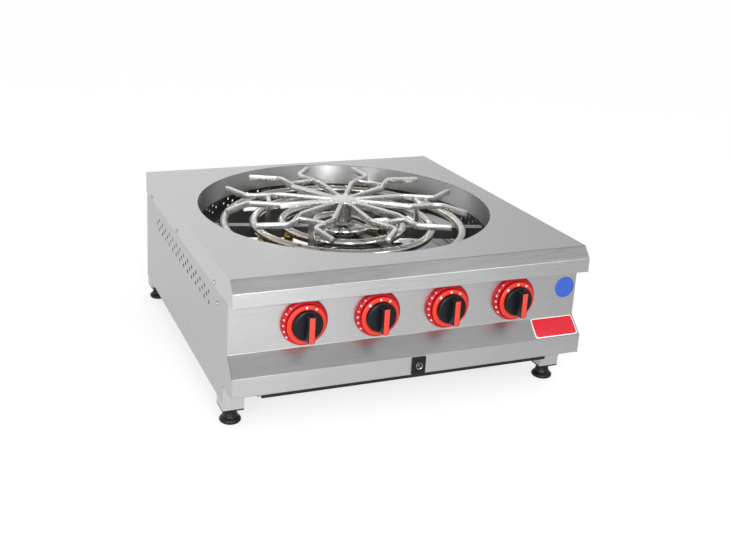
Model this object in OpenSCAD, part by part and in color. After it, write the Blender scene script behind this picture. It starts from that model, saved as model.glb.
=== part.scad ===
// Countertop gas stove with one large round well, four ring burners and a star pan support.
// Z is up from the floor, the front faces -Y, and X = 0 is the middle of the casing.

/* [Casing] */
// Width of the top plate
plate_w = 700; // [640:1:760]
// Depth of the top plate from the front lip to the back
plate_d = 700; // [690:1:760]
// Height of the top surface above the floor
top_h = 297; // [290:1:330]
// Thickness of the casing's steel sheet
sheet = 1.5; // [1:0.1:2]
// Inner radius of the sheet's bends
fold_r = 1.5; // [1:0.1:3]
// Drop of the front lip and of the side skirts below the top surface
lip_h = 48; // [40:1:54]
// Drop of the slanted band along the front edge
slant_h = 21; // [12:1:28]
// Reach of the slanted band along the front edge
slant_d = 18; // [10:1:24]
// Width of the folded hems
hem = 18; // [12:1:24]

/* [Front] */
// Set-back of the control panel behind the lip
panel_set = 32; // [26:1:40]
// Drop of the bend below the knobs
bend_drop = 146; // [142:1:152]
// Drop of the apron's upper edge
apron_drop = 177; // [164:1:180]
// Drop of the apron's lower edge
apron_low = 214; // [206:1:214]
// Set-back of the apron behind the lip
apron_set = 1; // [0:0.5:6]

/* [Sides] */
// Overhang of the nose in front of the legs
nose_d = 58; // [50:1:66]
// Diameter of the side vent holes
vent_d = 8; // [5:0.5:10]
// Number of vent columns on each side
vent_cols = 14; // [6:1:16]
// Spacing of the vent columns
vent_pitch = 32; // [20:1:34]
// Spacing of the three vent rows
vent_row = 10.5; // [9:0.5:14]
// Drop of the middle vent row
vent_drop = 85.5; // [80:0.5:110]
// Distance of the first vent column behind the lip
vent_first = 154; // [120:1:170]
// Lower edge of the back panel, down from the top
back_drop = 155; // [140:1:170]
// Height of the slots in the back panel
slot_h = 50; // [40:1:56]
// Width of the slots in the back panel
slot_w = 36; // [30:1:40]

/* [Well] */
// Diameter of the round well
well_d = 608; // [590:1:624]
// Distance of the well's centre behind the lip
well_set = 375; // [368:1:380]
// Height of the plain upper wall of the well
wall_h = 46; // [40:1:50]
// Height of the perforated air ring below the wall
air_h = 30; // [28:1:34]
// Width of the air ring's inward ledge
ledge_w = 24; // [18:1:28]
// Diameter of the air holes
air_d = 6; // [4:0.5:7]
// Number of air holes in each row
air_n = 60; // [30:2:66]
// Spacing of the three rows of air holes
air_row = 8; // [7.5:0.1:9]

/* [Burners] */
// Centre-line radius of the outer burner ring
ring_1_r = 250; // [244:1:256]
// Centre-line radius of the second burner ring
ring_2_r = 187; // [180:1:190]
// Centre-line radius of the third burner ring
ring_3_r = 127; // [118:1:134]
// Centre-line radius of the inner burner ring
ring_4_r = 58; // [50:1:66]
// Diameter of the burner tube
tube_d = 18; // [14:1:20]
// Wall of the burner tube
tube_wall = 1.5; // [1:0.1:2]
// Drop of the rings' centre line below the top surface
ring_drop = 45; // [42:1:48]
// Diameter of a flame port
port_d = 3; // [2:0.5:4]
// Spacing of the flame ports along a ring
port_pitch = 42; // [30:1:60]
// Length of a feed cup below the rings' centre line
cup_l = 26; // [22:1:30]
// Width of a cradle arm
bar_w = 20; // [18:1:24]
// Diameter of the post in the middle of the well
cone_d = 38; // [32:1:42]

/* [Grate] */
// Rise of the grate above the top surface
grate_rise = 10; // [6:1:16]
// Height of the grate's flat bars
grate_bar_h = 11; // [9:1:14]
// Thickness of the grate's flat bars
grate_bar_t = 8; // [5:0.5:9]
// Diameter of the hub
hub_d = 56; // [48:1:66]
// Thickness of the hub
hub_h = 6; // [4:1:8]
// Diameter of the hub's boss, which the bars meet
boss_d = 44; // [42:1:48]
// Inner radius of the bends in the bars
bar_fold = 14; // [8:1:18]
// Angle between a bar and the middle of its fork
fork_a = 15; // [12:0.5:17]
// Radius at which the bars bend
bend_r = 140; // [130:1:150]
// Half gap between the two bars of a fork at its narrow part
fork_v = 27; // [22:1:32]
// Distance of the fork's narrow part from the hub's centre
fork_u = 184; // [178:1:190]
// Length of the fork's narrow part
neck_l = 19; // [14:1:26]
// Distance of a fork's link and foot from the hub's centre
link_u = 157; // [152:1:162]
// Width of the foot under each fork
post_w = 12; // [8:1:14]
// Length of the spread tips
tip_l = 66; // [50:1:74]
// Turn of the spread tips out of the fork's line
tip_a = 53; // [45:1:58]
// Angle of the first fork
fork_turn = 45; // [30:1:60]

/* [Knobs] */
// Spacing of the four knobs
knob_pitch = 140; // [120:1:150]
// Drop of the knob axes below the top surface
knob_drop = 97; // [96:0.5:100]
// Diameter of the fixed dial ring at the panel
dial_d = 88; // [80:1:92]
// Thickness of the fixed dial ring
dial_t = 10; // [6:1:12]
// Diameter of the knob's skirt
skirt_d = 73; // [66:1:78]
// Thickness of the knob's skirt
skirt_t = 4; // [3:0.5:6]
// Push-in travel of a knob
push_l = 3; // [2:0.5:4]
// Diameter of the knob's cap
cap_d = 57; // [48:1:60]
// Height of the cap in front of the skirt
cap_h = 7; // [4:1:10]
// Width of the grip
grip_w = 15; // [10:1:18]
// Height of the grip in front of the skirt
grip_h = 25; // [16:1:28]
// Diameter of the valve spindle
spindle_d = 8; // [6:0.5:9]
// Radial clearance of running fits
run_gap = 0.05; // [0.02:0.01:0.1]
// Free space between bodies that move apart
free_gap = 0.3; // [0.3:0.1:0.6]

/* [Gas] */
// Outer diameter of the valve body
valve_d = 24; // [20:1:26]
// Distance of the manifold's axis behind the panel's face
manifold_set = 52; // [48:1:54]
// Outer diameter of the manifold pipe and of the half-inch inlet
pipe_d = 20.96; // [18:0.01:21.3]
// Length of the manifold beyond the outer knobs
manifold_over = 44; // [36:1:50]
// Length of the inlet's threaded stub behind the back panel
inlet_l = 30; // [22:1:36]
// Diameter of the gas tubes
gas_tube_d = 8; // [6:0.5:10]
// Bend radius of the gas tubes
gas_bend = 16; // [12:1:20]
// Length of an injector
injector_l = 24; // [20:1:28]
// Fall of the gas tubes below the valve outlets
tube_fall = 22; // [20:1:30]

// Width of a manifold bracket
bracket_w = 20; // [14:1:26]
// Height of a manifold bracket's upright leaf
bracket_h = 19; // [14:1:24]
// Thickness of a manifold bracket
bracket_t = 2; // [1.5:0.5:3]

/* [Igniter] */
// Width of the igniter's frame
spark_w = 27; // [24:1:32]
// Height of the igniter's frame
spark_h = 33; // [28:1:36]
// Offset of the igniter to the right of the middle
spark_x = 5; // [-20:1:40]
// Diameter of the igniter's button
button_d = 14; // [10:1:18]
// Travel of the igniter's button
button_l = 3; // [2:0.5:4]

/* [Tray] */
// Depth of the drip tray's floor below its rim
tray_h = 28; // [20:1:32]
// Height of the tray's front lip
tray_lip = 10; // [8:1:12]
// Width of the tray's side rims
tray_rim = 12; // [8:1:14]
// Set-back of the tray's front behind the casing's lip
tray_set = 20; // [16:1:26]
// Clearance of the tray to the parts around it
tray_gap = 2; // [1:0.5:3]
// Thickness of the tray's sheet
tray_t = 1.2; // [1:0.1:2]

/* [Feet] */
// Height of a foot below the leg's end plate
foot_h = 28; // [24:1:34]
// Side of the square legs
leg_w = 40; // [34:1:44]
// Height of the legs below the side panels
leg_show = 17; // [10:1:24]
// Thickness of the legs' end plates
end_t = 3; // [2:0.5:5]
// Diameter of a foot
foot_d = 40; // [34:1:46]
// Diameter of a foot's threaded stud
stud_d = 10; // [8:1:12]
// Length of a foot's stud above the end plate
stud_l = 26; // [25:1:36]

/* [Hidden] */
$fn = 64;
eps = 0.01;

// Places along Y: what stands out in front and behind sets the middle of the whole object
skirt_gap = push_l + 1;
grip_out = dial_t + skirt_gap + skirt_t + grip_h;
front_out = grip_out - panel_set;
lip_y = -plate_d / 2 + (front_out - inlet_l) / 2;
back_y = lip_y + plate_d;
panel_y = lip_y + panel_set;
apron_y = lip_y + apron_set;
well_y = lip_y + well_set;
leg_y = lip_y + nose_d;
rear_leg_y = back_y - 2 * sheet - leg_w;

// Places along X
half_w = plate_w / 2;
side_x = half_w - sheet;
inner_x = side_x - sheet;
knob_x = [for (i = [0:3]) (i - 1.5) * knob_pitch];

// Heights
under_z = top_h - sheet;
leg_z = foot_h + end_t;
side_z = leg_z + leg_show;
air_z = top_h - wall_h - air_h;
ring_z = top_h - ring_drop;
knob_z = top_h - knob_drop;
grate_z = top_h + grate_rise;

// Tray and rail heights follow the apron's lower edge
rim_z = top_h - apron_low - tray_gap;
shelf_z = rim_z - tray_t - free_gap;
tray_x = inner_x - leg_w - tray_gap;
rail_t = 2;

// Grate: six forks, and the arms of the cradle below them
fork_n = 6;

// Burner cradle and feeds
well_r = well_d / 2;
tube_r = tube_d / 2;
bar_z = ring_z - tube_r * 0.5;
pocket_h = 3;
pocket_gap = 0.5;
cup_r = tube_r * 0.9;
feed_r = [ring_1_r, ring_2_r, ring_3_r, (ring_3_r + ring_4_r) / 2 - 5];
feed_a = [gap_a(188) - 7, gap_a(188) - 7, gap_a(188) - 7, gap_a(317) + 2];
ring_r = [ring_1_r, ring_2_r, ring_3_r, ring_4_r];
injector_z = ring_z - cup_l - injector_l;
outlet_l = valve_d / 2 + 12;
outlet_set = 30;
outlet_z = knob_z - outlet_l;
run_z = outlet_z - tube_fall;

// Valve, spindle and plunger places behind the panel's face
valve_front = 6;
gland_t = 3;
plunger_r = 7.5;
plunger_set = 11;
plunger_l = 9;
chamber_l = plunger_set + plunger_l + push_l + 2;
spindle_r = spindle_d / 2;

// Middle of the space between two cradle arms that is nearest to an angle
function gap_a(a) = fork_turn + (floor((a - fork_turn) * fork_n / 360) + 0.5) * 360 / fork_n;
function feed_x(i) = feed_r[i] * cos(feed_a[i]);
function feed_y(i) = well_y + feed_r[i] * sin(feed_a[i]);

// Offsets a polyline to one side by d with mitred corners
function unit(v) = v / norm(v);
function side_of(v) = [-v.y, v.x];
function mitre(p, i, d) =
    let (n = len(p),
         a = unit(p[min(i + 1, n - 1)] - p[min(i, n - 2)]),
         b = unit(p[max(i, 1)] - p[max(i - 1, 0)]),
         m = unit(side_of(a) + side_of(b)))
    p[i] + m * d / (m * side_of(a));
function thick_line(p, t) = concat(
    [for (i = [0:len(p) - 1]) mitre(p, i, t / 2)],
    [for (i = [len(p) - 1:-1:0]) mitre(p, i, -t / 2)]);

// One bend of a strip of thickness t, with an inner radius: [inner side, centre, two tangent points
// on the inner side, two on the outer side, outer corner]
function bend(p, i, t, inner) =
    let (a = unit(p[i] - p[i - 1]), b = unit(p[i + 1] - p[i]),
         turn = atan2(a.x * b.y - a.y * b.x, a * b), s = sign(turn), r = inner + t / 2,
         c = p[i] - a * r * tan(abs(turn) / 2) + side_of(a) * s * r)
    [s, c, c - side_of(a) * s * inner, c - side_of(b) * s * inner,
     c - side_of(a) * s * (inner + t), c - side_of(b) * s * (inner + t), mitre(p, i, -s * t / 2)];

// Profile of a strip of thickness t whose middle follows an outline, with round bends
module bent_strip(outline, t, inner) {
    last = len(outline) - 1;
    bends = [for (i = [1:last - 1]) bend(outline, i, t, inner)];
    sides = [for (s = [1, -1]) concat([mitre(outline, 0, s * t / 2)],
        [for (b = bends) each b[0] == s ? [b[2], b[3]] : [b[6]]], [mitre(outline, last, s * t / 2)])];
    difference() {
        polygon(concat(sides[0], [for (i = [len(sides[1]) - 1:-1:0]) sides[1][i]]));
        for (b = bends) translate(b[1]) circle(r = inner);
        for (b = bends) difference() {
            polygon([b[1], b[4], b[6], b[5]]);
            translate(b[1]) circle(r = inner + t);
        }
    }
}

// A sheet folded along an outline in Y and Z, running across from x0 to x1
module folded(outline, x0, x1, t = sheet) {
    translate([x0, 0, 0]) rotate([90, 0, 90]) linear_extrude(x1 - x0) bent_strip(outline, t, fold_r);
}

// A flat profile in Y and Z with its thickness along X from x0
module slab_x(outline, x0, t) {
    translate([x0, 0, 0]) rotate([90, 0, 90]) linear_extrude(t) polygon(outline);
}

module rod_y(x, y0, y1, z, r) {
    translate([x, y0, z]) rotate([-90, 0, 0]) cylinder(h = y1 - y0, r = r);
}

module rod_x(x0, x1, y, z, r) {
    translate([x0, y, z]) rotate([0, 90, 0]) cylinder(h = x1 - x0, r = r);
}

module torus(r, t) {
    rotate_extrude($fn = 128) translate([r, 0]) circle(r = t, $fn = 48);
}

module pipe_ring(r_out, r_in, z0, h) {
    translate([0, well_y, z0]) difference() {
        cylinder(h = h, r = r_out, $fn = 180);
        translate([0, 0, -1]) cylinder(h = h + 2, r = r_in, $fn = 180);
    }
}

// Top plate: one pressed sheet with side skirts, a slanted front band and a folded lip
module top_plate() color("lightgray") difference() {
    union() {
        folded([[lip_y + slant_d, top_h - sheet / 2], [back_y - sheet / 2, top_h - sheet / 2],
                [back_y - sheet / 2, top_h - lip_h]], -half_w, half_w);
        folded([[lip_y + slant_d + 4, top_h - sheet / 2], [lip_y + slant_d, top_h - sheet / 2],
                [lip_y + sheet / 2, top_h - slant_h],
                [lip_y + sheet / 2, top_h - lip_h + sheet / 2], [panel_y, top_h - lip_h + sheet / 2]],
               -half_w, half_w);
        for (x = [-half_w, half_w - sheet])
            slab_x([[lip_y + slant_d, top_h], [back_y, top_h], [back_y, top_h - lip_h], [lip_y, top_h - lip_h],
                    [lip_y, top_h - slant_h]], x, sheet);
    }
    translate([0, well_y, top_h - 2 * sheet]) cylinder(h = 4 * sheet, d = well_d, $fn = 180);
    screw_holes(half_w + 1, 4);
}

// Well wall: a rolled band welded under the plate with a narrow flange
module well_wall() color("silver") union() {
    pipe_ring(well_r + sheet, well_r, top_h - wall_h, wall_h - sheet);
    pipe_ring(well_r + 10, well_r + sheet - eps, under_z - sheet, sheet);
}

// Air ring: perforated band with an inward ledge that carries the burner cradle
module air_ring() color("darkgray") difference() {
    union() {
        pipe_ring(well_r + sheet, well_r, air_z, air_h);
        pipe_ring(well_r + eps, well_r - ledge_w, air_z, sheet);
    }
    for (row = [0:2], i = [0:air_n - 1])
        translate([0, well_y, air_z + air_h - 6 - row * air_row])
            rotate([0, 0, (i + (row % 2) / 2) * 360 / air_n])
                translate([well_r - 3, 0, 0]) rotate([0, 90, 0]) cylinder(h = 8, d = air_d, $fn = 20);
}

function side_outline() = [
    [panel_y, under_z], [back_y - sheet - fold_r, under_z], [back_y - sheet, under_z - fold_r],
    [back_y - sheet, side_z], [leg_y, side_z],
    [leg_y, top_h - apron_low], [apron_y, top_h - apron_low], [apron_y, top_h - apron_drop],
    [panel_y, top_h - bend_drop]];

// Side panel: a sheet with three staggered rows of vent holes and an inward hem at the bottom
module side_panel(s) color("lightgray") difference() {
    union() {
        slab_x(side_outline(), s > 0 ? inner_x : -side_x, sheet);
        translate([s > 0 ? inner_x - hem : -inner_x, leg_y + leg_w + 1, side_z])
            cube([hem, rear_leg_y - leg_y - leg_w - 2, sheet]);
    }
    for (row = [-1:1], i = [0:vent_cols - 1])
        translate([s * (inner_x - 2), lip_y + vent_first + (i + (row == 0 ? 0.5 : 0)) * vent_pitch,
                   top_h - vent_drop + row * vent_row])
            rotate([0, s * 90, 0]) cylinder(h = 6, d = vent_d, $fn = 24);
    screw_holes(half_w + 1, 8);
}
module side_panel_left() side_panel(-1);
module side_panel_right() side_panel(1);

// Back panel with the gas inlet's hole and a row of slots
slot_n = 9;
slot_pitch = 50;
module back_panel() color("lightgray") difference() {
    translate([-inner_x, back_y - 2 * sheet, top_h - back_drop])
        cube([2 * inner_x, sheet, back_drop - sheet - fold_r]);
    translate([inlet_x, back_y - 5 * sheet, inlet_z]) rotate([-90, 0, 0]) cylinder(h = 8 * sheet, d = pipe_d + 5);
    for (i = [0:slot_n - 1])
        translate([(i - (slot_n - 1) / 2) * slot_pitch - slot_w / 2, back_y - 5 * sheet,
                   top_h - vent_drop - slot_h / 2])
            cube([slot_w, 8 * sheet, slot_h]);
}

// Control panel: one sheet that folds from the panel over the sloping ledge into the apron
module control_panel() color("lightgray") difference() {
    folded([[panel_y + sheet / 2, under_z - eps], [panel_y + sheet / 2, top_h - bend_drop],
            [apron_y + sheet / 2, top_h - apron_drop], [apron_y + sheet / 2, top_h - apron_low + sheet / 2],
            [apron_y + hem, top_h - apron_low + sheet / 2]], -inner_x, inner_x);
    for (x = knob_x) rod_y(x, panel_y - 3, panel_y + 6, knob_z, spindle_r + 4);
    translate([spark_x - spark_w / 2 + 4, apron_y - 3, spark_z - spark_h / 2 + 4])
        cube([spark_w - 8, 8, spark_h - 8]);
}

// Rail with two welded square legs: the shelf carries the tray's rim
module leg_rail(s) color("silver") {
    rail_front = apron_y + hem + 2;
    rail_l = back_y - 2 * sheet - rail_front;
    reach = leg_w + tray_rim;
    difference() {
        union() {
            translate([s > 0 ? inner_x - reach : -inner_x, rail_front, shelf_z - rail_t])
                cube([reach, rail_l, rail_t]);
            translate([s > 0 ? inner_x - rail_t : -inner_x, rail_front, shelf_z - rail_t])
                cube([rail_t, rail_l, 24]);
            for (y = [leg_y, rear_leg_y])
                translate([s > 0 ? inner_x - leg_w : -inner_x, y, leg_z]) difference() {
                    cube([leg_w, leg_w, shelf_z - rail_t - leg_z + eps]);
                    translate([2, 2, -1]) cube([leg_w - 4, leg_w - 4, shelf_z - rail_t - leg_z + 1]);
                }
        }
        for (p = leg_places) translate([p.x, p.y, shelf_z - rail_t - 1]) cylinder(h = rail_t + 2, d = stud_d + 4);
    }
}
module leg_rail_left() leg_rail(-1);
module leg_rail_right() leg_rail(1);

leg_places = [for (y = [leg_y, rear_leg_y], s = [-1, 1]) [s * (inner_x - leg_w / 2), y + leg_w / 2]];

// End plates: black caps that close the legs, each with a threaded boss for the foot
module leg_end_plates() color([0.08, 0.08, 0.08]) for (p = leg_places)
    translate([p.x, p.y, foot_h]) difference() {
        union() {
            translate([-leg_w / 2, -leg_w / 2, 0]) cube([leg_w, leg_w, end_t]);
            translate([-leg_w / 2 + 2.3, -leg_w / 2 + 2.3, end_t - eps]) cube([leg_w - 4.6, leg_w - 4.6, 9]);
        }
        translate([0, 0, -1]) cylinder(h = end_t + 12, d = stud_d + 2 * run_gap);
    }

// Foot: a flared pad on a threaded stud
module foot(i) color([0.1, 0.1, 0.1]) translate([leg_places[i - 1].x, leg_places[i - 1].y, 0]) {
    r = foot_d / 2;
    waist = foot_h - 8;
    rotate_extrude() polygon([[0, 0], [r - 2, 0], [r, 2.5], [r, 5], [r - 2, 8], [r * 0.72, waist * 0.55],
                              [r * 0.6, waist], [r * 0.62, foot_h - free_gap], [0, foot_h - free_gap]]);
    cylinder(h = foot_h + end_t + stud_l, d = stud_d);
}
module foot_1() foot(1);
module foot_2() foot(2);
module foot_3() foot(3);
module foot_4() foot(4);

// Burner cradle: arms from a middle plate to the air ring's ledge, notched for the rings, with a
// pocket in each arm for a foot of the grate
module burner_cradle() color("dimgray") difference() {
    arm_h = bar_z - air_z - sheet;
    middle_r = ring_4_r - tube_r - 2;
    translate([0, well_y, air_z + sheet]) {
        for (k = [0:fork_n - 1]) rotate([0, 0, fork_turn + k * 360 / fork_n])
            translate([middle_r / 2, -bar_w / 2, 0]) cube([well_r - 4 - middle_r / 2, bar_w, arm_h]);
        cylinder(h = arm_h, r = middle_r);
    }
    for (r = ring_r) translate([0, well_y, ring_z - tube_r - run_gap]) difference() {
        cylinder(h = tube_d, r = r + tube_r + run_gap, $fn = 128);
        translate([0, 0, -1]) cylinder(h = tube_d + 2, r = r - tube_r - run_gap, $fn = 128);
    }
    translate([0, well_y, air_z]) cylinder(h = 80, r = cone_d / 2 - 7);
    for (k = [0:fork_n - 1]) translate([0, well_y, 0]) rotate([0, 0, fork_turn + k * 360 / fork_n])
        translate([link_u - grate_bar_t / 2 - pocket_gap, -post_w / 2 - pocket_gap, bar_z - pocket_h])
            cube([grate_bar_t + 2 * pocket_gap, post_w + 2 * pocket_gap, pocket_h + 5]);
}

// Burner ring: a hollow tube bent to a circle, with flame ports on top and a feed cup below
module burner_ring(k) color("silver") {
    i = k - 1;
    r = ring_r[i];
    off = feed_r[i] - r;
    ports = round(2 * PI * r / port_pitch);
    translate([0, well_y, ring_z]) rotate([0, 0, feed_a[i]]) difference() {
        union() {
            torus(r, tube_r);
            translate([feed_r[i], 0, -cup_l]) cylinder(h = cup_l + (off == 0 ? 0 : 4), r = cup_r);
            if (off != 0) translate([r, 0, 0]) rotate([0, off > 0 ? 90 : -90, 0])
                cylinder(h = abs(off), r = tube_r * 0.75);
        }
        torus(r, tube_r - tube_wall);
        translate([feed_r[i], 0, -cup_l - 1]) cylinder(h = cup_l + 1, r = cup_r - tube_wall);
        if (off != 0) translate([r, 0, 0]) rotate([0, off > 0 ? 90 : -90, 0])
            cylinder(h = abs(off), r = tube_r * 0.75 - tube_wall);
        for (j = [0:ports - 1]) rotate([0, 0, (j + 0.5) * 360 / ports])
            translate([r, 0, 0]) cylinder(h = tube_r + 1, d = port_d, $fn = 16);
    }
}
module burner_ring_1() burner_ring(1);
module burner_ring_2() burner_ring(2);
module burner_ring_3() burner_ring(3);
module burner_ring_4() burner_ring(4);

// Centre cone: a turned post on the cradle's middle plate, just under the hub of the grate
module centre_cone() color("silver") translate([0, well_y, 0]) {
    z0 = bar_z;
    z1 = grate_z - hub_h - free_gap;
    r = cone_d / 2;
    dish = ring_4_r - tube_r - 4;
    rotate_extrude($fn = 96) polygon([
        [0, z0], [dish - 1, z0], [dish, z0 + 1], [dish - 1, z0 + 2], [r + 9, z0 + 4], [r + 3, z0 + 7],
        [r, z0 + 12], [r - 2, (z0 + z1) / 2], [r - 4, z1 - 4], [r - 5, z1 - 1.5], [r - 7, z1], [0, z1]]);
    translate([0, 0, air_z + sheet]) cylinder(h = z0 - air_z, r = r - 7 - run_gap);
}

// Injectors: brass jets that screw up into the feed cups
module gas_injectors() color("goldenrod") for (i = [0:3]) translate([feed_x(i), feed_y(i), injector_z]) {
    difference() {
        union() {
            cylinder(h = injector_l, r = cup_r - 2.2);
            translate([0, 0, 4]) cylinder(h = 10, r = cup_r + 0.5, $fn = 6);
            translate([0, 0, injector_l]) cylinder(h = 8, r1 = cup_r - 2.2, r2 = 3);
        }
        translate([0, 0, -1]) cylinder(h = 9, d = gas_tube_d + 2 * run_gap);
        cylinder(h = injector_l + 9, r = 0.8);
    }
}

// Gas tubes, each from a valve's outlet down, back and up into its injector
module gas_tubes() color("peru") for (i = [0:3]) {
    x0 = knob_x[i];
    y0 = panel_y + outlet_set;
    dx = feed_x(i) - x0;
    dy = feed_y(i) - y0;
    run = norm([dx, dy]);
    r = gas_tube_d / 2;
    translate([x0, y0, run_z]) rotate([0, 0, atan2(dy, dx)]) {
        translate([0, 0, gas_bend]) cylinder(h = outlet_z - run_z - gas_bend, r = r);
        translate([run, 0, gas_bend]) cylinder(h = injector_z + 7.5 - run_z - gas_bend, r = r);
        translate([gas_bend, 0, 0]) rotate([0, 90, 0]) cylinder(h = run - 2 * gas_bend, r = r);
        translate([gas_bend, 0, gas_bend]) rotate([90, 0, 0]) rotate([0, 0, 180])
            rotate_extrude(angle = 90) translate([gas_bend, 0]) circle(r = r, $fn = 32);
        translate([run - gas_bend, 0, gas_bend]) rotate([90, 0, 0]) rotate([0, 0, -90])
            rotate_extrude(angle = 90) translate([gas_bend, 0]) circle(r = r, $fn = 32);
    }
}

// Gas valve: a brass body saddled on the manifold, with a chamber for its plunger
module gas_valve(k) color("goldenrod") {
    x = knob_x[k - 1];
    r = valve_d / 2;
    difference() {
        union() {
            rod_y(x, panel_y + valve_front, panel_y + valve_front + 8, knob_z, r - 2);
            rod_y(x, panel_y + valve_front + 8, panel_y + manifold_set, knob_z, r);
            translate([x, panel_y + outlet_set, outlet_z]) cylinder(h = outlet_l, r = gas_tube_d / 2 + 2.5);
            translate([x, panel_y + outlet_set, outlet_z]) cylinder(h = 7, r = gas_tube_d / 2 + 5, $fn = 6);
            translate([x - r, panel_y + manifold_set - 14, knob_z - r]) cube([2 * r, 14, 2 * r]);
        }
        rod_x(x - 30, x + 30, panel_y + manifold_set, knob_z, pipe_d / 2 + run_gap);
        rod_y(x, panel_y, panel_y + valve_front + 10, knob_z, spindle_r + run_gap);
        rod_y(x, panel_y + valve_front + gland_t, panel_y + chamber_l, knob_z, plunger_r + run_gap);
    }
}
module gas_valve_1() gas_valve(1);
module gas_valve_2() gas_valve(2);
module gas_valve_3() gas_valve(3);
module gas_valve_4() gas_valve(4);

// Plunger: the collar that carries the spindle and moves in when the knob is pushed
module valve_plunger(k) color("khaki") difference() {
    x = knob_x[k - 1];
    rod_y(x, panel_y + plunger_set, panel_y + plunger_set + plunger_l, knob_z, plunger_r);
    rod_y(x, panel_y + plunger_set - 1, panel_y + plunger_set + plunger_l + 1, knob_z, spindle_r + run_gap);
}
module valve_plunger_1() valve_plunger(1);
module valve_plunger_2() valve_plunger(2);
module valve_plunger_3() valve_plunger(3);
module valve_plunger_4() valve_plunger(4);

spindle_out = dial_t + skirt_gap + skirt_t + cap_h - 3;
module valve_spindle(k) color("silver")
    rod_y(knob_x[k - 1], panel_y - spindle_out, panel_y + plunger_set + plunger_l + 1, knob_z, spindle_r);
module valve_spindle_1() valve_spindle(1);
module valve_spindle_2() valve_spindle(2);
module valve_spindle_3() valve_spindle(3);
module valve_spindle_4() valve_spindle(4);

// Dial ring: the fixed red ring behind a knob
module dial_rings() color("firebrick") for (x = knob_x) translate([x, panel_y, knob_z]) rotate([90, 0, 0])
    rotate_extrude($fn = 96) polygon([[spindle_r + 6, 0], [dial_d / 2, 0], [dial_d / 2, 3],
        [dial_d / 2 - 2, dial_t - 2], [dial_d / 2 - 4, dial_t], [skirt_d / 2 - 6, dial_t],
        [skirt_d / 2 - 8, dial_t - 4], [spindle_r + 6, dial_t - 4]]);

// Knob: a black cap with a raised grip, bored for the spindle
module knob(k) color([0.07, 0.07, 0.07]) translate([knob_x[k - 1], panel_y - dial_t - skirt_gap, knob_z])
    rotate([90, 0, 0]) difference() {
        union() {
            rotate_extrude($fn = 96) polygon([[0, 0], [cap_d / 2, 0], [cap_d / 2, skirt_t + 1],
                [cap_d / 2 - 1.5, skirt_t + cap_h - 1], [cap_d / 2 - 4, skirt_t + cap_h], [0, skirt_t + cap_h + 1]]);
            translate([0, 0, skirt_t]) intersection() {
                cylinder(h = grip_h, r1 = cap_d / 2 - 1, r2 = cap_d / 2 - 3, $fn = 96);
                translate([-grip_w / 2, -cap_d, 0]) cube([grip_w, 2 * cap_d, grip_h]);
            }
        }
        translate([0, 0, -1]) cylinder(h = spindle_out - dial_t - skirt_gap + 1.2, r = spindle_r + run_gap);
    }
module knob_1() knob(1);
module knob_2() knob(2);
module knob_3() knob(3);
module knob_4() knob(4);

// Knob skirt: the red ring around the cap
module knob_skirt(k) color("red") translate([knob_x[k - 1], panel_y - dial_t - skirt_gap, knob_z])
    rotate([90, 0, 0]) rotate_extrude($fn = 96) polygon([[cap_d / 2, 0], [skirt_d / 2 - 1.5, 0],
        [skirt_d / 2, 1.5], [skirt_d / 2 - 1, skirt_t - 0.8], [skirt_d / 2 - 2.5, skirt_t],
        [cap_d / 2, skirt_t]]);
module knob_skirt_1() knob_skirt(1);
module knob_skirt_2() knob_skirt(2);
module knob_skirt_3() knob_skirt(3);
module knob_skirt_4() knob_skirt(4);

// Manifold: the pipe behind the panel that feeds the four valves
inlet_x = knob_x[3] + manifold_over;
inlet_z = knob_z;
manifold_y = panel_y + manifold_set;
module gas_manifold() color("silver") union() {
    rod_x(knob_x[0] - manifold_over, inlet_x - pipe_d / 2 - 6, manifold_y, knob_z, pipe_d / 2);
    translate([knob_x[0] - manifold_over - 8, manifold_y, knob_z]) rotate([0, 90, 0])
        cylinder(h = 8 + eps, r = pipe_d / 2 + 2, $fn = 6);
}

// Inlet: elbow, pipe to the back and a threaded stub outside the casing
module gas_inlet() color("silver") {
    union() {
        translate([inlet_x - pipe_d / 2 - 6, manifold_y, knob_z]) rotate([0, 90, 0])
            cylinder(h = pipe_d / 2 + 6, r = pipe_d / 2 + 3);
        translate([inlet_x, manifold_y, knob_z]) sphere(r = pipe_d / 2 + 3);
        rod_y(inlet_x, manifold_y, manifold_y + 20, knob_z, pipe_d / 2 + 3);
        rod_y(inlet_x, manifold_y + 10, back_y + inlet_l, knob_z, pipe_d / 2);
        translate([inlet_x, back_y, knob_z]) rotate([-90, 0, 0]) cylinder(h = 5, r = pipe_d / 2 + 5, $fn = 6);
    }
}

// Two brackets that hold the manifold off the panel's back
module manifold_brackets() color("silver") for (s = [-1, 1]) {
    y0 = panel_y + sheet + bracket_t / 2;
    z0 = knob_z - pipe_d / 2 - run_gap - bracket_t / 2;
    folded([[y0, z0 - bracket_h], [y0, z0], [manifold_y + pipe_d / 2, z0]],
           s * knob_pitch - bracket_w / 2, s * knob_pitch + bracket_w / 2, bracket_t);
}

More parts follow.
